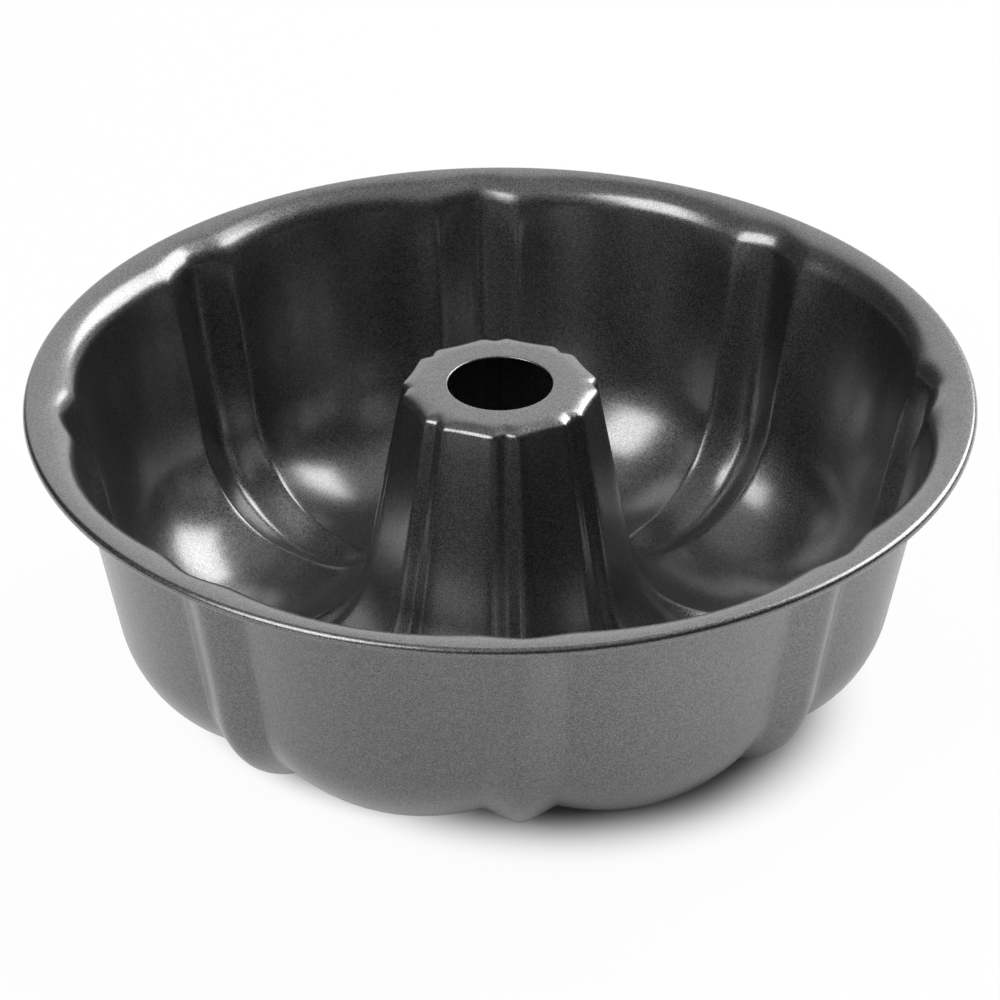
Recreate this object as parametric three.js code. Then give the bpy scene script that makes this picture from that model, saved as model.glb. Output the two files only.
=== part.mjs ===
// Fluted savarin mould: a ring trough drawn from one steel sheet round an open chimney.
// Millimetres, +Z up. The origin is on the resting plane, under the middle of the chimney.
import * as THREE from 'three';
import { mergeVertices } from 'three/addons/utils/BufferGeometryUtils.js';

// Whole mould
const RIM_DIAMETER = 260; // over the rolled rim
const RIM_HEIGHT = 84; // resting plane to the top of the rim
const CHIMNEY_HEIGHT = 86.3; // resting plane to the flat top of the chimney
const SHEET = 0.5; // thickness of the steel

// Meridian of the sheet's trough face, without its channels
const WALL_LEAN = 11.2; // degrees from upright
const CHIMNEY_LEAN = 10.4; // degrees from upright
const CHIMNEY_RADIUS = 25.6; // chimney's face at the height of the rim
const CHIMNEY_EDGE = 2.2; // rounding round the chimney's top
const CHIMNEY_CROWN = 8; // gentler rounding between that edge and the flat top
const CROWN_TURN = 28; // degrees that the crown turns through
const HOLE_RADIUS = 14.35; // hole punched in the chimney's top
const FLOOR_FLAT = 4; // flat ring between the two rounded sides of the trough
const LIP_BEND = 7.5; // rounding where the wall turns out to the rim
const LIP_FLARE = 14; // gentler rounding between that bend and the rim
const FLARE_TURN = 18; // degrees that the flare turns through
const LIP_FLAT = 0.3; // level ring between the flare and the rolled rim

// Channels pressed across the sheet, with a lobe between each two
const LOBES = 8;
const CHANNEL_WIDTH_CHIMNEY = 6.6; // crease to crease on the chimney
const CHANNEL_WIDTH_RIM = 26.2; // crease to crease at the rim
const CREASE_RISE_CHIMNEY = 1.35; // how far a crease stands into the trough on the chimney
const LOBE_RISE_CHIMNEY = 0.35; // and the middle of a lobe there
const CREASE_RISE_WALL = 3.95; // a crease on the floor and the wall
const CREASE_FADE = 14; // creases begin to die away this far below the lip's bend
const KEEL_FLAT_CHIMNEY = 0.8; // flat strip along the bottom of a channel, on the chimney
const KEEL_FLAT_WALL = 3; // and on the floor and the wall

// Rolled rim
const WIRE_DIAMETER = 1.4; // stiffening wire inside the roll
const WIRE_CLEARANCE = 0.3; // between the wire and the sheet rolled round it
const ROLL_TURN = 270; // degrees that the sheet is rolled through

// How finely the round stretches are divided
const ARC_STEPS = 6;
const BEND_STEPS = 4;
const FLARE_STEPS = 2;
const CROWN_STEPS = 3;
const FADE_STEPS = 2;
const EDGE_STEPS = 3;
const ROLL_STEPS = 9;
const WIRE_SIDES = 8;
const LOBE_STEPS = 5;

const { degToRad, lerp, smoothstep } = THREE.MathUtils;
const QUARTER = Math.PI / 2;
const SECTOR = (2 * Math.PI) / LOBES;

// Places that follow from the sizes
const rollRadius = WIRE_DIAMETER / 2 + WIRE_CLEARANCE + SHEET;
const rollCentre = { r: RIM_DIAMETER / 2 - rollRadius, z: RIM_HEIGHT - rollRadius };
const wallLean = degToRad(WALL_LEAN);
const chimneyLean = degToRad(CHIMNEY_LEAN);
const flareTurn = degToRad(FLARE_TURN);
const crownTurn = degToRad(CROWN_TURN);

// The lip: a flare that ends level at the rim, and a bend that runs on from it into the wall
const flareCentre = { r: rollCentre.r - LIP_FLAT, z: RIM_HEIGHT - LIP_FLARE };
const bendCentre = {
  r: flareCentre.r - (LIP_FLARE - LIP_BEND) * Math.sin(flareTurn),
  z: flareCentre.z + (LIP_FLARE - LIP_BEND) * Math.cos(flareTurn),
};
const bendTurn = QUARTER - wallLean - flareTurn;
const fadeLength = CREASE_FADE + LIP_BEND * bendTurn + LIP_FLARE * flareTurn;

// Radius of the wall's and the chimney's faces at the height of the trough's floor
const floorHeight = SHEET;
const wallAtBend = bendCentre.r - LIP_BEND / Math.cos(wallLean);
const wallAtFloor = wallAtBend - (bendCentre.z - floorHeight) * Math.tan(wallLean);
const chimneyAtFloor = CHIMNEY_RADIUS + (RIM_HEIGHT - floorHeight) * Math.tan(chimneyLean);

// One radius rounds both sides of the trough and leaves the flat ring between them
const wallReach = 1 / Math.cos(wallLean) - Math.tan(wallLean);
const chimneyReach = 1 / Math.cos(chimneyLean) - Math.tan(chimneyLean);
const troughRadius = (wallAtFloor - chimneyAtFloor - FLOOR_FLAT) / (wallReach + chimneyReach);
const troughHeight = floorHeight + troughRadius;
const footCentre = { r: chimneyAtFloor + troughRadius * chimneyReach, z: troughHeight };
const cornerCentre = { r: wallAtFloor - troughRadius * wallReach, z: troughHeight };

// The round edge of the chimney's top meets its sloping face, and the crown runs on from it to the flat top
const crownHeight = CHIMNEY_HEIGHT - CHIMNEY_CROWN;
const edgeHeight = crownHeight + (CHIMNEY_CROWN - CHIMNEY_EDGE) * Math.cos(crownTurn);
const chimneyAtEdge = CHIMNEY_RADIUS - (edgeHeight - RIM_HEIGHT) * Math.tan(chimneyLean);
const edgeCentre = { r: chimneyAtEdge - CHIMNEY_EDGE / Math.cos(chimneyLean), z: edgeHeight };
const crownRadius = edgeCentre.r - (CHIMNEY_CROWN - CHIMNEY_EDGE) * Math.sin(crownTurn);
const crownCentre = { r: crownRadius, z: crownHeight };

// A direction across the sheet, as an angle in the meridian plane: 0 is outwards, a quarter is up
function unit(angle) {
  return { r: Math.cos(angle), z: Math.sin(angle) };
}

// A size that changes from the chimney to the floor, across the trough's inner side
function grow(r, onChimney, onWall) {
  const footStart = footCentre.r - troughRadius * Math.cos(chimneyLean);
  return lerp(onChimney, onWall, smoothstep(r, footStart, cornerCentre.r));
}

// Rise of a crease at a distance up the sheet from where it begins to die away
function fadingRise(passed) {
  return CREASE_RISE_WALL * Math.cos((QUARTER * passed) / fadeLength);
}

// A station is a place along the meridian: a point of the trough face, the way from there through
// the sheet to its back, the way it is pressed, and how far a crease and a lobe's middle are pressed
function station(r, z, back, pressWay, crease, lobe) {
  return { r, z, back: unit(back), press: unit(pressWay), crease, lobe };
}

// Stations on an arc; visit(r, z, angle, share) makes each of them, with the share of the arc passed
function arc(centre, radius, from, to, steps, visit) {
  const stations = [];
  for (let i = 0; i <= steps; i++) {
    const share = i / steps;
    const angle = lerp(from, to, share);
    const r = centre.r + radius * Math.cos(angle);
    const z = centre.z + radius * Math.sin(angle);
    stations.push(visit(r, z, angle, share));
  }
  return stations;
}

// Round the chimney's top the channels grow from nothing to their depth on the chimney
function topStations() {
  const hole = station(HOLE_RADIUS, CHIMNEY_HEIGHT, -QUARTER, 0, 0, 0);
  const turnEnd = QUARTER - crownTurn;
  const crown = arc(crownCentre, CHIMNEY_CROWN, QUARTER, turnEnd, CROWN_STEPS, (r, z, angle, share) =>
    station(r, z, angle + Math.PI, 0, share * CREASE_RISE_CHIMNEY, share * LOBE_RISE_CHIMNEY));
  const edge = arc(edgeCentre, CHIMNEY_EDGE, turnEnd, chimneyLean, EDGE_STEPS, (r, z, angle, share) =>
    station(r, z, angle + Math.PI, share * chimneyLean, CREASE_RISE_CHIMNEY, LOBE_RISE_CHIMNEY));
  return [hole, ...crown, ...edge.slice(1)];
}

// The trough from the chimney's foot to the wall
function troughStations() {
  const throughSheet = (r, z, angle) => {
    const crease = grow(r, CREASE_RISE_CHIMNEY, CREASE_RISE_WALL);
    return station(r, z, angle, angle + Math.PI, crease, grow(r, LOBE_RISE_CHIMNEY, 0));
  };
  const foot = arc(footCentre, troughRadius, -Math.PI + chimneyLean, -QUARTER, ARC_STEPS, throughSheet);
  const corner = arc(cornerCentre, troughRadius, -QUARTER, -wallLean, ARC_STEPS, throughSheet);
  return [...foot, ...corner];
}

// Up the last of the wall and in the lip the creases die away, so that the rolled rim stays round and flat
function rimStations() {
  const fade = [];
  for (let i = 0; i < FADE_STEPS; i++) {
    const passed = (CREASE_FADE * i) / FADE_STEPS;
    const below = CREASE_FADE - passed;
    const r = bendCentre.r - LIP_BEND * Math.cos(wallLean) - below * Math.sin(wallLean);
    const z = bendCentre.z + LIP_BEND * Math.sin(wallLean) - below * Math.cos(wallLean);
    fade.push(station(r, z, -wallLean, Math.PI - wallLean, fadingRise(passed), 0));
  }
  const turnOut = (r, z, angle) => {
    const turned = Math.PI - wallLean - angle;
    const onFlare = Math.max(turned - bendTurn, 0);
    const passed = CREASE_FADE + LIP_BEND * (turned - onFlare) + LIP_FLARE * onFlare;
    const pressWay = Math.PI - wallLean * (1 - turned / (QUARTER - wallLean));
    return station(r, z, angle + Math.PI, pressWay, fadingRise(passed), 0);
  };
  const flareStart = QUARTER + flareTurn;
  const bend = arc(bendCentre, LIP_BEND, Math.PI - wallLean, flareStart, BEND_STEPS, turnOut);
  const flare = arc(flareCentre, LIP_FLARE, flareStart, QUARTER, FLARE_STEPS, turnOut);
  const rollEnd = QUARTER - degToRad(ROLL_TURN);
  const roll = arc(rollCentre, rollRadius, QUARTER, rollEnd, ROLL_STEPS, (r, z, angle) =>
    station(r, z, angle + Math.PI, Math.PI, 0, 0));
  return [...fade, ...bend, ...flare.slice(1), ...roll];
}

// Columns run along the mould from hole to rim. Each keeps its place in the pattern: on the edge of
// a channel's flat strip, on a crease, or between two creases on a lobe.
// Angles are measured from the middle of the sector's channel.
function creaseAngle(r) {
  const share = (r - CHIMNEY_RADIUS) / (RIM_DIAMETER / 2 - CHIMNEY_RADIUS);
  return Math.asin(lerp(CHANNEL_WIDTH_CHIMNEY, CHANNEL_WIDTH_RIM, share) / 2 / r);
}

function keelColumn(side) {
  const angleAt = (r) => side * Math.asin(grow(r, KEEL_FLAT_CHIMNEY, KEEL_FLAT_WALL) / 2 / r);
  return { angleAt, riseAt: () => 0 };
}

function lobeColumn(step) {
  const across = (2 * step) / LOBE_STEPS - 1;
  const angleAt = (r) => SECTOR / 2 + across * (SECTOR / 2 - creaseAngle(r));
  return { angleAt, riseAt: (point) => lerp(point.lobe, point.crease, across * across) };
}

function sectorColumns() {
  const columns = [keelColumn(-1), keelColumn(1)];
  for (let step = 0; step <= LOBE_STEPS; step++) columns.push(lobeColumn(step));
  return columns;
}

// Turns a closed meridian outline round the axis and presses the channels into it
function pressedRing(outline) {
  const columns = sectorColumns();
  const profile = outline.map((point) => new THREE.Vector2(point.r, point.z));
  profile.push(profile[0]);
  const geometry = new THREE.LatheGeometry(profile, LOBES * columns.length);
  const position = geometry.attributes.position;
  for (let i = 0; i < position.count; i++) {
    const point = outline[(i % profile.length) % outline.length];
    const turn = Math.floor(i / profile.length) % (LOBES * columns.length);
    const column = columns[turn % columns.length];
    const sector = Math.floor(turn / columns.length);
    const angle = sector * SECTOR + column.angleAt(point.guide);
    const rise = column.riseAt(point);
    const r = point.r + rise * point.press.r;
    const z = point.z + rise * point.press.z;
    position.setXYZ(i, r * Math.cos(angle), r * Math.sin(angle), z);
  }
  geometry.deleteAttribute('normal');
  geometry.deleteAttribute('uv');
  return mergeVertices(geometry);
}

// Outline of the sheet: its back from the hole to the end of the roll, then its trough face back again
function shellGeometry() {
  const stations = [...topStations(), ...troughStations(), ...rimStations()];
  const trough = stations.map((s) => ({ ...s, guide: s.r }));
  const back = trough.map((s) => ({ ...s, r: s.r + SHEET * s.back.r, z: s.z + SHEET * s.back.z }));
  return pressedRing([...back, ...trough.reverse()]);
}

// The wire lies in the middle of the roll
function wireGeometry() {
  const outline = arc(rollCentre, WIRE_DIAMETER / 2, 0, 2 * Math.PI, WIRE_SIDES, (r, z) =>
    ({ ...station(r, z, 0, 0, 0, 0), guide: r }));
  outline.pop();
  return pressedRing(outline);
}

function piece(name, geometry, material) {
  geometry.computeVertexNormals();
  const mesh = new THREE.Mesh(geometry, material);
  mesh.name = name;
  return mesh;
}

const nonStickCoating = new THREE.MeshStandardMaterial({ color: 0x4b4b4d, roughness: 0.42, metalness: 0.5 });
const bareSteel = new THREE.MeshStandardMaterial({ color: 0xb9bbbd, roughness: 0.35, metalness: 1 });

const mould = new THREE.Group();
mould.name = 'savarin_mould';
mould.add(piece('mould_shell', shellGeometry(), nonStickCoating));
mould.add(piece('rim_wire', wireGeometry(), bareSteel));

export default mould;
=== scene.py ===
# %% [markdown]
# # A fluted savarin mould
# This lesson dresses a ring cake mould. The real one is a single steel sheet, drawn over a tool into a
# trough round a hollow chimney, fluted by pressed channels, rolled over a wire at the rim, and then
# sprayed with a dark non-stick coating that carries fine metal flake.
# The frame already holds the pieces at their true size, so everything here is placed in it, in metres.

# %% Load the frame
import math

import bmesh
import bpy
from mathutils import Matrix, Vector


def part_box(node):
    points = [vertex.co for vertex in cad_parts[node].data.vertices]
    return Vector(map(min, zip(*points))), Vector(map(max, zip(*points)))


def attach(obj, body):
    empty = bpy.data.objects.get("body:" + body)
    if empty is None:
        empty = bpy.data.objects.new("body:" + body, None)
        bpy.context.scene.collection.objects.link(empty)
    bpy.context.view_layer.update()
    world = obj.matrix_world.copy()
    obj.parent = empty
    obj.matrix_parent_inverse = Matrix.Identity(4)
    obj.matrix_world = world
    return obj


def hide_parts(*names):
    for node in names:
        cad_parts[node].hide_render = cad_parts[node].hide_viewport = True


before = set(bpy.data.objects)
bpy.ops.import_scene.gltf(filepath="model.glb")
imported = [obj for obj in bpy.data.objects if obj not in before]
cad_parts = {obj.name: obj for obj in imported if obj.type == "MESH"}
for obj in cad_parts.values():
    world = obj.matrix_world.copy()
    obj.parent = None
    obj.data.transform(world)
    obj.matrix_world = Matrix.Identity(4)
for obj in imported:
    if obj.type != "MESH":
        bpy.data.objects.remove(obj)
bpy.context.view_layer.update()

MM = 0.001
shell_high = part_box("mould_shell")[1]
wire_low, wire_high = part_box("rim_wire")

# %% [markdown]
# ## The camera
# The photograph looks down on the mould from a little to one side of a channel, through a long lens.
# A camera is easiest to place by what it looks at, from how far, and at which two angles. Its matrix is
# then built from three directions: right, up and back.

# %% Place the camera
VIEW_DISTANCE = 1500 * MM
VIEW_ELEVATION = math.radians(31.6)
VIEW_TURN = math.radians(-3.1)
VIEW_ROLL = math.radians(-0.15)
VIEW_HEIGHT = 48.85 * MM
VIEW_SHIFT = -0.1 * MM
LENS_PIXELS = 5430
FRAME_PIXELS = 1000
SENSOR_MM = 36


def make_camera():
    """A camera turned about the mould's axis from straight in front of a channel."""
    azimuth = VIEW_TURN - math.pi / 2
    right = Vector((-math.sin(azimuth), math.cos(azimuth), 0))
    level = Vector((math.cos(azimuth), math.sin(azimuth), 0))
    back = level * math.cos(VIEW_ELEVATION) + Vector((0, 0, math.sin(VIEW_ELEVATION)))
    up = back.cross(right)
    rolled_right = right * math.cos(VIEW_ROLL) + up * math.sin(VIEW_ROLL)
    rolled_up = up * math.cos(VIEW_ROLL) - right * math.sin(VIEW_ROLL)
    place = Vector((0, 0, VIEW_HEIGHT)) + right * VIEW_SHIFT + back * VIEW_DISTANCE
    data = bpy.data.cameras.new("photo_camera")
    data.sensor_width = SENSOR_MM
    data.lens = SENSOR_MM * LENS_PIXELS / FRAME_PIXELS
    camera = bpy.data.objects.new("photo_camera", data)
    turn = Matrix((rolled_right, rolled_up, back)).transposed()
    camera.matrix_world = Matrix.Translation(place) @ turn.to_4x4()
    bpy.context.collection.objects.link(camera)
    bpy.context.scene.camera = camera
    return camera


camera = make_camera()
print("camera at", tuple(round(c, 3) for c in camera.location), "lens", round(camera.data.lens, 1), "mm")

# %% [markdown]
# ## The sheet's meridian
# Cut through the mould along a radius and the sheet shows as one thin line: the chimney's top with its
# gentle crown and tight edge, the leaning chimney, a round-bottomed trough, the leaning wall, a lip that
# bends and then flares, and the roll. Each stretch is a straight line or an arc tangent to its neighbours,
# so a few sizes give it all. The line could be drawn by hand as a curve, but then no size could be changed.
# A station is one place along that line. It also says how far, and which way, a crease is pressed there.

# %% Sizes of the sheet
SHEET = 0.5 * MM
RIM_RADIUS = shell_high[0]
CHIMNEY_TOP = shell_high[2]
RIM_TOP = 84 * MM
WALL_LEAN = math.radians(11.2)
CHIMNEY_LEAN = math.radians(10.4)
CHIMNEY_RADIUS = 25.6 * MM
CHIMNEY_EDGE = 2.2 * MM
CHIMNEY_CROWN = 8 * MM
CROWN_TURN = math.radians(28)
HOLE_RADIUS = 14.35 * MM
HOLE_ROUND = 0.45 * MM
FLOOR_FLAT = 4 * MM
LIP_BEND = 7.5 * MM
LIP_FLARE = 14 * MM
FLARE_TURN = math.radians(18)
LIP_FLAT = 0.3 * MM
WIRE_RADIUS = (wire_high[2] - wire_low[2]) / 2
WIRE_CLEARANCE = 0.3 * MM
ROLL_TURN = math.radians(270)
CREASE_RISE_CHIMNEY = 1.35 * MM
LOBE_RISE_CHIMNEY = 0.35 * MM
CREASE_RISE_WALL = 3.95 * MM
CREASE_FADE = 14 * MM
QUARTER = math.pi / 2

roll_radius = WIRE_RADIUS + WIRE_CLEARANCE + SHEET
roll_centre = (RIM_RADIUS - roll_radius, RIM_TOP - roll_radius)
flare_centre = (roll_centre[0] - LIP_FLAT, RIM_TOP - LIP_FLARE)
bend_centre = (flare_centre[0] - (LIP_FLARE - LIP_BEND) * math.sin(FLARE_TURN),
               flare_centre[1] + (LIP_FLARE - LIP_BEND) * math.cos(FLARE_TURN))
bend_turn = QUARTER - WALL_LEAN - FLARE_TURN
fade_length = CREASE_FADE + LIP_BEND * bend_turn + LIP_FLARE * FLARE_TURN
wall_at_bend = bend_centre[0] - LIP_BEND / math.cos(WALL_LEAN)
wall_at_floor = wall_at_bend - (bend_centre[1] - SHEET) * math.tan(WALL_LEAN)
chimney_at_floor = CHIMNEY_RADIUS + (RIM_TOP - SHEET) * math.tan(CHIMNEY_LEAN)
wall_reach = 1 / math.cos(WALL_LEAN) - math.tan(WALL_LEAN)
chimney_reach = 1 / math.cos(CHIMNEY_LEAN) - math.tan(CHIMNEY_LEAN)
trough_radius = (wall_at_floor - chimney_at_floor - FLOOR_FLAT) / (wall_reach + chimney_reach)
foot_centre = (chimney_at_floor + trough_radius * chimney_reach, SHEET + trough_radius)
corner_centre = (wall_at_floor - trough_radius * wall_reach, SHEET + trough_radius)
edge_height = CHIMNEY_TOP - CHIMNEY_CROWN + (CHIMNEY_CROWN - CHIMNEY_EDGE) * math.cos(CROWN_TURN)
chimney_at_edge = CHIMNEY_RADIUS - (edge_height - RIM_TOP) * math.tan(CHIMNEY_LEAN)
edge_centre = (chimney_at_edge - CHIMNEY_EDGE / math.cos(CHIMNEY_LEAN), edge_height)
crown_centre = (edge_centre[0] - (CHIMNEY_CROWN - CHIMNEY_EDGE) * math.sin(CROWN_TURN),
                CHIMNEY_TOP - CHIMNEY_CROWN)
print("trough radius", round(trough_radius / MM, 2), "mm, roll radius", round(roll_radius / MM, 2), "mm")

# %% Stations along the sheet
STEPS = {"hole": 6, "top": 3, "crown": 8, "edge": 7, "chimney": 8, "trough": 22, "wall": 8, "fade": 6,
         "bend": 12, "flare": 7, "roll": 22}


def smooth_share(value, low, high):
    """0 below a low value, 1 above a high one, and an even S between them."""
    share = min(max((value - low) / (high - low), 0), 1)
    return share * share * (3 - 2 * share)


def grow(radius, on_chimney, on_wall):
    """A size that changes across the trough's inner side, from its value on the chimney."""
    foot_start = foot_centre[0] - trough_radius * math.cos(CHIMNEY_LEAN)
    return on_chimney + (on_wall - on_chimney) * smooth_share(radius, foot_start, corner_centre[0])


def station(radius, height, back, press, crease, lobe):
    """A point of the trough face, the angles towards the sheet's back and of the pressing, and how far
    a crease and the middle of a lobe are pressed there."""
    return {"r": radius, "z": height, "back": back, "press": press, "crease": crease, "lobe": lobe}


def arc(centre, radius, start, end, steps, finish):
    """Stations on an arc; finish(r, z, angle, share) makes each of them."""
    made = []
    for step in range(steps + 1):
        share = step / steps
        angle = start + (end - start) * share
        r = centre[0] + radius * math.cos(angle)
        z = centre[1] + radius * math.sin(angle)
        made.append(finish(r, z, angle, share))
    return made


def straight(first, last, steps):
    """Stations between two others, without them."""
    made = []
    for step in range(1, steps):
        share = step / steps
        made.append({key: first[key] + (last[key] - first[key]) * share for key in first})
    return made


def fading_rise(passed):
    """Rise of a crease at a distance up the sheet from where it begins to die away."""
    return CREASE_RISE_WALL * math.cos(QUARTER * passed / fade_length)


def sheet_stations():
    """The trough face of the sheet from the hole in the chimney to the end of the roll."""
    def through(r, z, angle, share):
        return station(r, z, angle, angle + math.pi, grow(r, CREASE_RISE_CHIMNEY, CREASE_RISE_WALL),
                       grow(r, LOBE_RISE_CHIMNEY, 0))

    def crown_over(r, z, angle, share):
        return station(r, z, angle - math.pi, 0, CREASE_RISE_CHIMNEY * share, LOBE_RISE_CHIMNEY * share)

    def round_edge(r, z, angle, share):
        return station(r, z, angle - math.pi, CHIMNEY_LEAN * share, CREASE_RISE_CHIMNEY, LOBE_RISE_CHIMNEY)

    def turn_out(r, z, angle, share):
        turned = math.pi - WALL_LEAN - angle
        passed = CREASE_FADE + LIP_BEND * min(turned, bend_turn) + LIP_FLARE * max(turned - bend_turn, 0)
        press = math.pi - WALL_LEAN * (1 - turned / (QUARTER - WALL_LEAN))
        return station(r, z, angle - math.pi, press, fading_rise(passed), 0)

    def roll_over(r, z, angle, share):
        return station(r, z, angle - math.pi, math.pi, 0, 0)

    hole = station(HOLE_RADIUS, CHIMNEY_TOP, -QUARTER, 0, 0, 0)
    crown = arc(crown_centre, CHIMNEY_CROWN, QUARTER, QUARTER - CROWN_TURN, STEPS["crown"], crown_over)
    edge = arc(edge_centre, CHIMNEY_EDGE, QUARTER - CROWN_TURN, CHIMNEY_LEAN, STEPS["edge"], round_edge)
    foot = arc(foot_centre, trough_radius, CHIMNEY_LEAN - math.pi, -QUARTER, STEPS["trough"], through)
    corner = arc(corner_centre, trough_radius, -QUARTER, -WALL_LEAN, STEPS["trough"], through)
    bend = arc(bend_centre, LIP_BEND, math.pi - WALL_LEAN, QUARTER + FLARE_TURN, STEPS["bend"], turn_out)
    flare = arc(flare_centre, LIP_FLARE, QUARTER + FLARE_TURN, QUARTER, STEPS["flare"], turn_out)
    roll = arc(roll_centre, roll_radius, QUARTER, QUARTER - ROLL_TURN, STEPS["roll"], roll_over)
    fade = []
    for step in range(STEPS["fade"]):
        passed = CREASE_FADE * step / STEPS["fade"]
        below = CREASE_FADE - passed
        r = bend[0]["r"] - below * math.sin(WALL_LEAN)
        z = bend[0]["z"] - below * math.cos(WALL_LEAN)
        fade.append(station(r, z, -WALL_LEAN, math.pi - WALL_LEAN, fading_rise(passed), 0))
    line = [hole, *straight(hole, crown[0], STEPS["top"]), *crown, *edge[1:]]
    line += [*straight(edge[-1], foot[0], STEPS["chimney"]), *foot, *corner]
    line += [*straight(corner[-1], fade[0], STEPS["wall"]), *fade, *bend, *flare[1:], *roll]
    return line


sheet_line = sheet_stations()
print(len(sheet_line), "stations along the sheet")

# %% [markdown]
# ## The pattern of channels and lobes
# Eight channels cross the sheet from rim to chimney, and a lobe bulges between each two. A channel has a
# narrow flat bottom and two flanks; where a flank meets a lobe stands a crease. The sheet is pressed most on
# the crease, not at all along a channel's bottom, and along the middle of a lobe a little on the chimney and
# not at all on the wall. Two simple curves, a flank and a lobe, are joined by a smooth minimum. It rounds the
# crease as a press tool does, and needs no bevel afterwards.

# %% Shape of one channel and half a lobe
LOBES = 8
HALF_SECTOR = math.pi / LOBES
COLUMNS_EACH_SIDE = 24
COLUMNS_PER_LOBE = 2 * COLUMNS_EACH_SIDE
CHANNEL_WIDTH_CHIMNEY = 6.6 * MM
CHANNEL_WIDTH_RIM = 26.2 * MM
KEEL_FLAT_CHIMNEY = 0.8 * MM
KEEL_FLAT_WALL = 3 * MM
CREASE_SOFT_LOW = 0.55
CREASE_SOFT_HIGH = 0.14
KEEL_SOFT_LOW = 0.6
KEEL_SOFT_HIGH = 0.2
CROWDING = 1.65
SAMPLE_RADIUS = 100 * MM


def half_width(radius):
    """Half the distance between a channel's creases, which spreads evenly from chimney to rim."""
    share = (radius - CHIMNEY_RADIUS) / (RIM_RADIUS - CHIMNEY_RADIUS)
    return (CHANNEL_WIDTH_CHIMNEY + (CHANNEL_WIDTH_RIM - CHANNEL_WIDTH_CHIMNEY) * share) / 2


def softness(rise, when_low, when_high):
    """Low creases and shallow channels are rounder than high ones."""
    return when_low + (when_high - when_low) * (rise / CREASE_RISE_WALL) ** 2


def column_angle(column, radius):
    """Angle of a column from its channel's middle; columns crowd together beside the crease."""
    crease = math.asin(half_width(radius) / radius)
    along = abs(column) / COLUMNS_EACH_SIDE
    if along <= 0.5:
        angle = crease * (1 - (1 - 2 * along) ** CROWDING)
    else:
        angle = crease + (HALF_SECTOR - crease) * (2 * along - 1) ** CROWDING
    return math.copysign(angle, column)


def pressed(angle, radius, crease_rise, lobe_rise):
    """How far the sheet is pressed at an angle from a channel's middle."""
    width = half_width(radius)
    keel = grow(radius, KEEL_FLAT_CHIMNEY, KEEL_FLAT_WALL) / 2
    flank = (radius * math.sin(abs(angle)) - keel) / (width - keel)
    flank = (flank + math.hypot(flank, softness(crease_rise, KEEL_SOFT_LOW, KEEL_SOFT_HIGH))) / 2
    across = (HALF_SECTOR - abs(angle)) / (HALF_SECTOR - math.asin(width / radius))
    middle = lobe_rise / crease_rise if crease_rise else 0
    lobe = middle + (1 - middle) * across ** 2
    soft = softness(crease_rise, CREASE_SOFT_LOW, CREASE_SOFT_HIGH)
    softened = (flank + lobe - math.hypot(flank - lobe, soft)) / 2
    return crease_rise * softened / (1 - soft / 2)


places = (0, math.asin(half_width(SAMPLE_RADIUS) / SAMPLE_RADIUS), HALF_SECTOR)
print("pressed in the channel, on the crease and on the lobe:",
      [round(pressed(angle, SAMPLE_RADIUS, CREASE_RISE_WALL, 0) / MM, 2) for angle in places], "mm")

# %% [markdown]
# ## The drawn shell
# A press shapes the real sheet in two moves, and the mesh is made in the same two. First the section of
# the sheet, front and back, is spun round the axis into a plain ring mould. Then every vertex is pressed:
# it slides to its column and moves by its share of the crease. The numbers that a vertex needs for this
# ride along as layers on the section, because spinning copies them to each new vertex.

# %% Spin the section and press it
SHARP_FROM = math.radians(60)


def sheet_outline(line):
    """The section as a closed loop: back of the sheet, then the trough face, then the punched edge.
    Both faces are guided by the trough face's radius, so that they are pressed alike."""
    trough = [dict(place, guide=place["r"]) for place in line]
    back = []
    for place in trough:
        shifted = dict(place)
        shifted["r"] += SHEET * math.cos(place["back"])
        shifted["z"] += SHEET * math.sin(place["back"])
        back.append(shifted)
    hole = trough[0]
    middle = (hole["r"] + HOLE_ROUND, hole["z"] - HOLE_ROUND)
    hole["r"] += HOLE_ROUND
    edge = arc(middle, HOLE_ROUND, QUARTER, math.pi, STEPS["hole"],
               lambda r, z, angle, share: dict(hole, r=r, z=z))
    return [*back, *reversed(trough), *edge[1:]]


def spin_section(bm, outline, steps):
    """A closed ring from a section given as points in the meridian plane."""
    layers = {key: bm.verts.layers.float.new(key) for key in ("guide", "press", "crease", "lobe")}
    verts = []
    for point in outline:
        vert = bm.verts.new((point["r"], 0, point["z"]))
        for key, layer in layers.items():
            vert[layer] = point[key]
        verts.append(vert)
    edges = [bm.edges.new((a, b)) for a, b in zip(verts, verts[1:] + verts[:1])]
    bmesh.ops.spin(bm, geom=verts + edges, cent=(0, 0, 0), axis=(0, 0, 1), angle=2 * math.pi,
                   steps=steps, use_merge=True)
    return layers


def press_ring(bm, layers):
    """Slides every vertex of a spun ring to its column, and presses it."""
    columns = LOBES * COLUMNS_PER_LOBE
    for vert in bm.verts:
        turn = math.atan2(vert.co.y, vert.co.x)
        column = round(turn / (2 * math.pi) * columns)
        sector = round(column / COLUMNS_PER_LOBE)
        guide, press = vert[layers["guide"]], vert[layers["press"]]
        angle = column_angle(column - sector * COLUMNS_PER_LOBE, guide)
        moved = pressed(angle, guide, vert[layers["crease"]], vert[layers["lobe"]])
        radius = math.hypot(vert.co.x, vert.co.y) + moved * math.cos(press)
        height = vert.co.z + moved * math.sin(press)
        angle += sector * 2 * HALF_SECTOR
        vert.co = (radius * math.cos(angle), radius * math.sin(angle), height)


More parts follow.
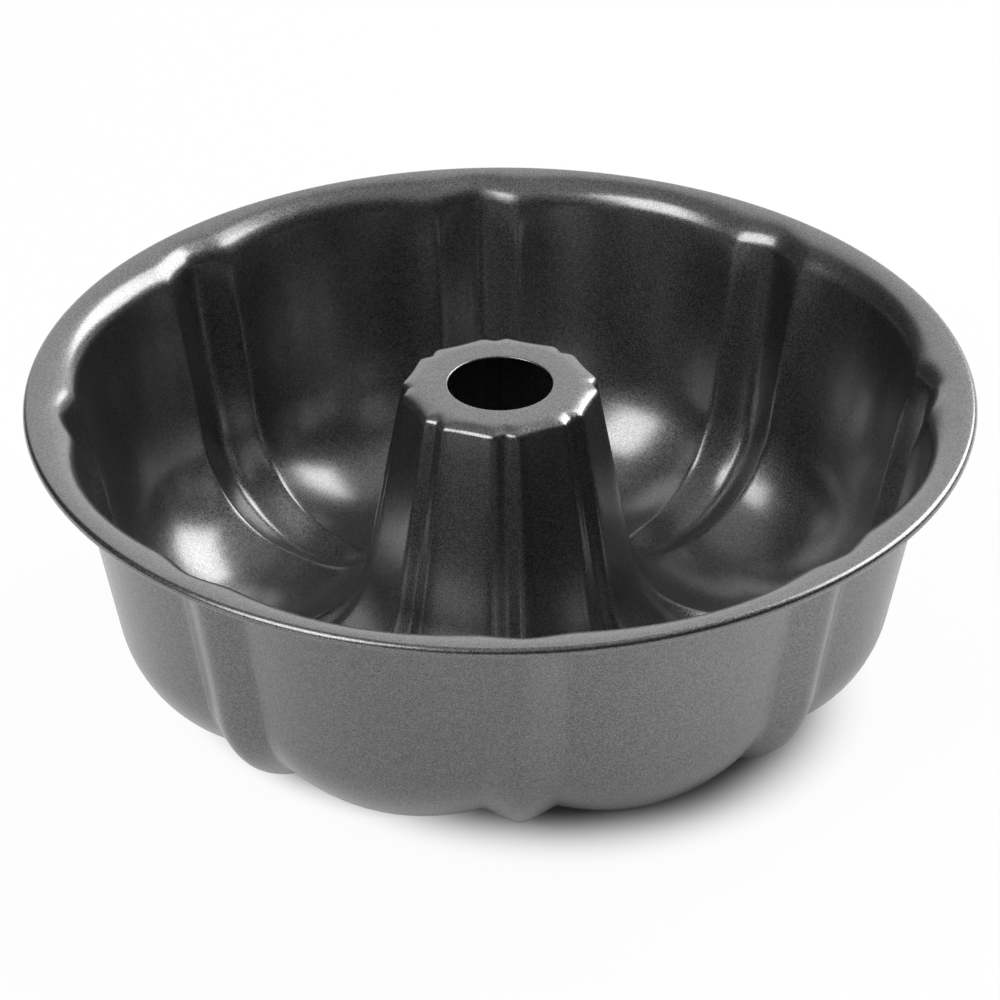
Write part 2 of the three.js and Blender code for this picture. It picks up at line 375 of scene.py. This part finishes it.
def finish_mesh(name, bm):
    """Closes a bmesh into a smooth-shaded object at the origin."""
    bmesh.ops.recalc_face_normals(bm, faces=bm.faces)
    mesh = bpy.data.meshes.new(name)
    bm.to_mesh(mesh)
    bm.free()
    mesh.shade_smooth()
    mesh.set_sharp_from_angle(angle=SHARP_FROM)
    piece = bpy.data.objects.new(name, mesh)
    bpy.context.collection.objects.link(piece)
    return piece


def make_shell():
    """The whole sheet: spun, pressed and cleared of the layers that guided it."""
    bm = bmesh.new()
    layers = spin_section(bm, sheet_outline(sheet_line), LOBES * COLUMNS_PER_LOBE)
    press_ring(bm, layers)
    for layer in layers.values():
        bm.verts.layers.float.remove(layer)
    return finish_mesh("pressed_shell", bm)


shell = make_shell()
print("shell:", len(shell.data.vertices), "vertices,", len(shell.data.polygons), "faces")

# %% [markdown]
# ## The rim wire
# A drawn steel wire lies inside the rolled rim and keeps it round. Only a glimpse of it shows, from below,
# where the roll ends. It is a circle of its own section, spun round the mould's axis.

# %% Spin the wire
WIRE_SIDES = 12
WIRE_STEPS = 192


def make_wire():
    """The wire at the middle of the roll."""
    bm = bmesh.new()
    place = Matrix.Translation((roll_centre[0], 0, roll_centre[1])) @ Matrix.Rotation(QUARTER, 4, "X")
    circle = bmesh.ops.create_circle(bm, segments=WIRE_SIDES, radius=WIRE_RADIUS, matrix=place)
    edges = list({edge for vert in circle["verts"] for edge in vert.link_edges})
    bmesh.ops.spin(bm, geom=circle["verts"] + edges, cent=(0, 0, 0), axis=(0, 0, 1), angle=2 * math.pi,
                   steps=WIRE_STEPS, use_merge=True)
    return finish_mesh("drawn_wire", bm)


wire = make_wire()
print("wire:", len(wire.data.polygons), "faces")

# %% [markdown]
# ## The non-stick coating
# The coating is a dark film in two layers. On top a clear coat mirrors the room smoothly, and under it lies
# a rougher layer of metal flake, which glitters in a fine grain. The shader's own coat is the first, and its
# metal is the second. Each flake is one cell of a Voronoi texture: its random value lightens or darkens the
# metal and tips it a little. A slow noise makes the film a touch uneven, as sprayed films are.

# %% Coat the shell
FLAKE_PER_METRE = 4000
FILM_PER_METRE = 90
FILM_DETAIL = 2.0
COATING_DARK = (0.002, 0.002, 0.002, 1)
COATING_LIGHT = (0.165, 0.1647, 0.1643, 1)
COAT_ROUGHNESS = 0.23
COAT_IOR = 2.05
ROUGHNESS_LOW = 0.36
ROUGHNESS_HIGH = 0.42
FLAKE_TIP = 0.4
FLAKE_HEIGHT = 0.03 * MM


def node(tree, kind, **values):
    """A new node, with its attributes or its inputs set by name."""
    made = tree.nodes.new(kind)
    for key, value in values.items():
        if key in made.inputs:
            made.inputs[key].default_value = value
        else:
            setattr(made, key, value)
    return made


def mixed_colour(tree, share, first, second):
    """A colour between two others, by a share that changes over the surface."""
    mix = node(tree, "ShaderNodeMix", data_type="RGBA")
    ends = [socket for socket in mix.inputs if socket.type == "RGBA"]
    ends[0].default_value = first
    ends[1].default_value = second
    tree.links.new(share, mix.inputs["Factor"])
    return next(socket for socket in mix.outputs if socket.type == "RGBA")


def new_material(name):
    """A material, its node tree and the shader in it."""
    material = bpy.data.materials.new(name)
    material.use_nodes = True
    tree = material.node_tree
    return material, tree, tree.nodes["Principled BSDF"]


def make_coating():
    """Metal flake under a clear coat."""
    material, tree, shader = new_material("flake_coating")
    link = tree.links.new
    where = node(tree, "ShaderNodeTexCoord")
    flake = node(tree, "ShaderNodeTexVoronoi", Scale=FLAKE_PER_METRE)
    link(where.outputs["Object"], flake.inputs["Vector"])
    grain = node(tree, "ShaderNodeSeparateColor")
    link(flake.outputs["Color"], grain.inputs["Color"])
    film = node(tree, "ShaderNodeTexNoise", Scale=FILM_PER_METRE, Detail=FILM_DETAIL)
    link(where.outputs["Object"], film.inputs["Vector"])
    colour = mixed_colour(tree, grain.outputs["Red"], COATING_DARK, COATING_LIGHT)
    link(colour, shader.inputs["Base Color"])
    rough = node(tree, "ShaderNodeMapRange")
    rough.inputs["To Min"].default_value = ROUGHNESS_LOW
    rough.inputs["To Max"].default_value = ROUGHNESS_HIGH
    link(film.outputs["Fac"], rough.inputs["Value"])
    link(rough.outputs["Result"], shader.inputs["Roughness"])
    bump = node(tree, "ShaderNodeBump", Strength=FLAKE_TIP, Distance=FLAKE_HEIGHT)
    link(grain.outputs["Green"], bump.inputs["Height"])
    link(bump.outputs["Normal"], shader.inputs["Normal"])
    shader.inputs["Metallic"].default_value = 1.0
    shader.inputs["Coat Weight"].default_value = 1.0
    shader.inputs["Coat Roughness"].default_value = COAT_ROUGHNESS
    shader.inputs["Coat IOR"].default_value = COAT_IOR
    return material


shell.data.materials.append(make_coating())
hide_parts("mould_shell")
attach(shell, "root")
print("coating:", FLAKE_PER_METRE * MM, "flakes to a millimetre")

# %% [markdown]
# ## The wire's steel
# The wire is bare drawn steel: bright, and finely uneven where the die rubbed it. A fine noise between two
# greys is enough, because the wire hardly shows.

# %% Finish the wire
STEEL_DULL = (0.42, 0.42, 0.43, 1)
STEEL_BRIGHT = (0.62, 0.62, 0.63, 1)
STEEL_ROUGHNESS = 0.35
DIE_MARKS_PER_METRE = 3000
DIE_MARK_DETAIL = 3.0


def make_steel():
    """Bare steel between a dull and a bright grey."""
    material, tree, shader = new_material("drawn_steel")
    link = tree.links.new
    where = node(tree, "ShaderNodeTexCoord")
    marks = node(tree, "ShaderNodeTexNoise", Scale=DIE_MARKS_PER_METRE, Detail=DIE_MARK_DETAIL)
    link(where.outputs["Object"], marks.inputs["Vector"])
    colour = mixed_colour(tree, marks.outputs["Fac"], STEEL_DULL, STEEL_BRIGHT)
    link(colour, shader.inputs["Base Color"])
    shader.inputs["Metallic"].default_value = 1.0
    shader.inputs["Roughness"].default_value = STEEL_ROUGHNESS
    return material


wire.data.materials.append(make_steel())
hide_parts("rim_wire")
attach(wire, "root")
print("wire:", round(2 * WIRE_RADIUS / MM, 2), "mm thick, in", wire.data.materials[0].name)

# %% [markdown]
# ## The studio
# A glossy dark thing is drawn by what it mirrors. The photograph's mould mirrors a white floor, a white
# backdrop behind it, a greyish ceiling, and two large soft boxes, one behind on the right and one in front
# on the left. The rest of the room is dim, which is why the inside of the mould looks almost black.
# The floor is plain white to the camera, apart from two round zones at the mould's foot, where it is lit as
# any floor is and keeps the shadow. In the mould's reflection it carries painted light and shade: a glow that
# is strongest on the left and fades to none on the right stands in for its lit and shaded sides.

# %% Floor
FLOOR_SIZE = 12.0
FLOOR_COLOUR = (0.88, 0.88, 0.88, 1)
FOOT_ZONE = {"centre": (0, 0, 0), "inner": 76 * MM, "outer": 94 * MM}
SHADOW_ZONE = {"centre": (16 * MM, -20 * MM, 0), "inner": 60 * MM, "outer": 88 * MM}
FLOOR_WHITE = 0.95
FLOOR_ROUGHNESS = 0.9
# Painted light and shade in the mould's reflection of the floor: a glow, strongest on the left, none on the
# right.
PAINTED_GLOW_LEFT = 0.58
PAINTED_GLOW_RIGHT = 0.0
PAINTED_GLOW_REACH = 180 * MM


def seen_share(tree, where):
    """1 for the camera's rays, 0 for rays that carry the floor's light, and for rays that mirror the floor a
    share of painted glow that falls from its left to its right, in place of lit and shaded floor."""
    side = node(tree, "ShaderNodeSeparateXYZ")
    tree.links.new(where.outputs["Object"], side.inputs["Vector"])
    painted_glow = node(tree, "ShaderNodeMapRange")
    painted_glow.inputs["From Min"].default_value = -PAINTED_GLOW_REACH
    painted_glow.inputs["From Max"].default_value = PAINTED_GLOW_REACH
    painted_glow.inputs["To Min"].default_value = PAINTED_GLOW_LEFT
    painted_glow.inputs["To Max"].default_value = PAINTED_GLOW_RIGHT
    tree.links.new(side.outputs["X"], painted_glow.inputs["Value"])
    path = node(tree, "ShaderNodeLightPath")
    total = path.outputs["Is Camera Ray"]
    for name in ("Is Glossy Ray", "Is Transmission Ray"):
        part = node(tree, "ShaderNodeMath", operation="MULTIPLY")
        tree.links.new(path.outputs[name], part.inputs[0])
        tree.links.new(painted_glow.outputs["Result"], part.inputs[1])
        either = node(tree, "ShaderNodeMath", operation="MAXIMUM")
        tree.links.new(total, either.inputs[0])
        tree.links.new(part.outputs["Value"], either.inputs[1])
        total = either.outputs["Value"]
    return total


def outside(tree, where, zone):
    """0 within a round zone of the floor, rising softly to the share of plain white outside it."""
    reach = node(tree, "ShaderNodeVectorMath", operation="DISTANCE")
    tree.links.new(where.outputs["Object"], reach.inputs[0])
    reach.inputs[1].default_value = zone["centre"]
    clear = node(tree, "ShaderNodeMapRange", interpolation_type="SMOOTHSTEP")
    clear.inputs["From Min"].default_value = zone["inner"]
    clear.inputs["From Max"].default_value = zone["outer"]
    clear.inputs["To Max"].default_value = FLOOR_WHITE
    tree.links.new(reach.outputs["Value"], clear.inputs["Value"])
    return clear.outputs["Result"]


def make_floor():
    """A white floor that keeps the shadow at the mould's foot and turns to plain white further out."""
    bm = bmesh.new()
    bmesh.ops.create_grid(bm, x_segments=1, y_segments=1, size=FLOOR_SIZE / 2)
    mesh = bpy.data.meshes.new("floor")
    bm.to_mesh(mesh)
    bm.free()
    floor = bpy.data.objects.new("floor", mesh)
    bpy.context.collection.objects.link(floor)
    material, tree, shader = new_material("white_floor")
    link = tree.links.new
    shader.inputs["Base Color"].default_value = FLOOR_COLOUR
    shader.inputs["Roughness"].default_value = FLOOR_ROUGHNESS
    shader.inputs["Specular IOR Level"].default_value = 0.0
    where = node(tree, "ShaderNodeTexCoord")
    clear = node(tree, "ShaderNodeMath", operation="MINIMUM")
    link(outside(tree, where, FOOT_ZONE), clear.inputs[0])
    link(outside(tree, where, SHADOW_ZONE), clear.inputs[1])
    share = node(tree, "ShaderNodeMath", operation="MULTIPLY")
    link(clear.outputs["Value"], share.inputs[0])
    link(seen_share(tree, where), share.inputs[1])
    white = node(tree, "ShaderNodeEmission")
    mixed = node(tree, "ShaderNodeMixShader")
    link(share.outputs["Value"], mixed.inputs["Fac"])
    link(shader.outputs["BSDF"], mixed.inputs[1])
    link(white.outputs["Emission"], mixed.inputs[2])
    link(mixed.outputs["Shader"], tree.nodes["Material Output"].inputs["Surface"])
    mesh.materials.append(material)


make_floor()
print("floor", FLOOR_SIZE, "m across")

# %% [markdown]
# The backdrop and the ceiling are far enough away to be painted on the room itself: a white patch between
# two bearings and below a height, and a grey that rises towards the zenith. Walls would do the same with
# more to render. The camera sees white all round, so that any other view has the same plain background.

# %% Room and backdrop
ROOM_DIM = 0.07
CEILING = 0.5
CEILING_LOW = math.radians(42)
CEILING_HIGH = math.radians(75)
BACKDROP_LEFT = math.radians(-26)
BACKDROP_RIGHT = math.radians(37)
BACKDROP_TOP = math.radians(50)
BACKDROP_SOFT = math.radians(9)


def window(tree, value, low, high, soft):
    """1 between two angles, fading to 0 outside them."""
    edges = []
    for angle, way in ((low, 1), (high, -1)):
        edge = node(tree, "ShaderNodeMapRange", interpolation_type="SMOOTHSTEP")
        edge.inputs["From Min"].default_value = angle - way * soft
        edge.inputs["From Max"].default_value = angle + way * soft
        tree.links.new(value, edge.inputs["Value"])
        edges.append(edge.outputs["Result"])
    both = node(tree, "ShaderNodeMath", operation="MULTIPLY")
    tree.links.new(edges[0], both.inputs[0])
    tree.links.new(edges[1], both.inputs[1])
    return both.outputs["Value"]


def make_room():
    """A dim room with a white backdrop and a grey ceiling, which the camera sees as white."""
    world = bpy.data.worlds.new("room")
    world.use_nodes = True
    bpy.context.scene.world = world
    tree = world.node_tree
    link = tree.links.new
    where = node(tree, "ShaderNodeTexCoord")
    split = node(tree, "ShaderNodeSeparateXYZ")
    link(where.outputs["Generated"], split.inputs["Vector"])
    bearing = node(tree, "ShaderNodeMath", operation="ARCTAN2")
    link(split.outputs["X"], bearing.inputs[0])
    link(split.outputs["Y"], bearing.inputs[1])
    height = node(tree, "ShaderNodeMath", operation="ARCSINE")
    link(split.outputs["Z"], height.inputs[0])
    across = window(tree, bearing.outputs["Value"], BACKDROP_LEFT, BACKDROP_RIGHT, BACKDROP_SOFT)
    upright = window(tree, height.outputs["Value"], -BACKDROP_TOP, BACKDROP_TOP, BACKDROP_SOFT)
    patch = node(tree, "ShaderNodeMath", operation="MULTIPLY")
    link(across, patch.inputs[0])
    link(upright, patch.inputs[1])
    path = node(tree, "ShaderNodeLightPath")
    ceiling = node(tree, "ShaderNodeMapRange", interpolation_type="SMOOTHSTEP")
    ceiling.inputs["From Min"].default_value = CEILING_LOW
    ceiling.inputs["From Max"].default_value = CEILING_HIGH
    ceiling.inputs["To Min"].default_value = ROOM_DIM
    ceiling.inputs["To Max"].default_value = CEILING
    link(height.outputs["Value"], ceiling.inputs["Value"])
    strength = ceiling.outputs["Result"]
    for lighter in (patch.outputs["Value"], path.outputs["Is Camera Ray"]):
        most = node(tree, "ShaderNodeMath", operation="MAXIMUM")
        link(strength, most.inputs[0])
        link(lighter, most.inputs[1])
        strength = most.outputs["Value"]
    background = tree.nodes["Background"]
    background.inputs["Color"].default_value = (1, 1, 1, 1)
    link(strength, background.inputs["Strength"])


make_room()
backdrop_bearings = [round(math.degrees(bearing)) for bearing in (BACKDROP_LEFT, BACKDROP_RIGHT)]
print("backdrop between bearings", backdrop_bearings, "degrees")

# %% [markdown]
# A soft box is an area lamp. Its bearing is counted from straight behind the mould, to the right, and its
# brightness is written as the radiance that a mirror would show, from which its power follows. Sizes are in
# metres. The two together light the floor to about white, where a colour renders about as it is written.

# %% Soft boxes
BOX_DISTANCE = 1.5
RIGHT_BOX = {"bearing": math.radians(54), "height": math.radians(39),
             "width": 1.08, "tall": 0.95, "radiance": 5.9}
LEFT_BOX = {"bearing": math.radians(-126), "height": math.radians(43),
            "width": 0.8, "tall": 1.1, "radiance": 5.1}


def soft_box(name, bearing, height, width, tall, radiance):
    """A lamp that faces the mould from a bearing and a height."""
    level = Vector((math.sin(bearing), math.cos(bearing), 0))
    way = level * math.cos(height) + Vector((0, 0, math.sin(height)))
    data = bpy.data.lights.new(name, "AREA")
    data.shape = "RECTANGLE"
    data.size = width
    data.size_y = tall
    data.energy = radiance * math.pi * width * tall
    lamp = bpy.data.objects.new(name, data)
    lamp.location = way * BOX_DISTANCE
    lamp.rotation_euler = way.to_track_quat("Z", "Y").to_euler()
    lamp.visible_camera = False
    bpy.context.collection.objects.link(lamp)
    print(name, "power", round(data.energy, 1), "W")


soft_box("right_box", **RIGHT_BOX)
soft_box("left_box", **LEFT_BOX)
bpy.context.scene.view_settings.view_transform = "Standard"
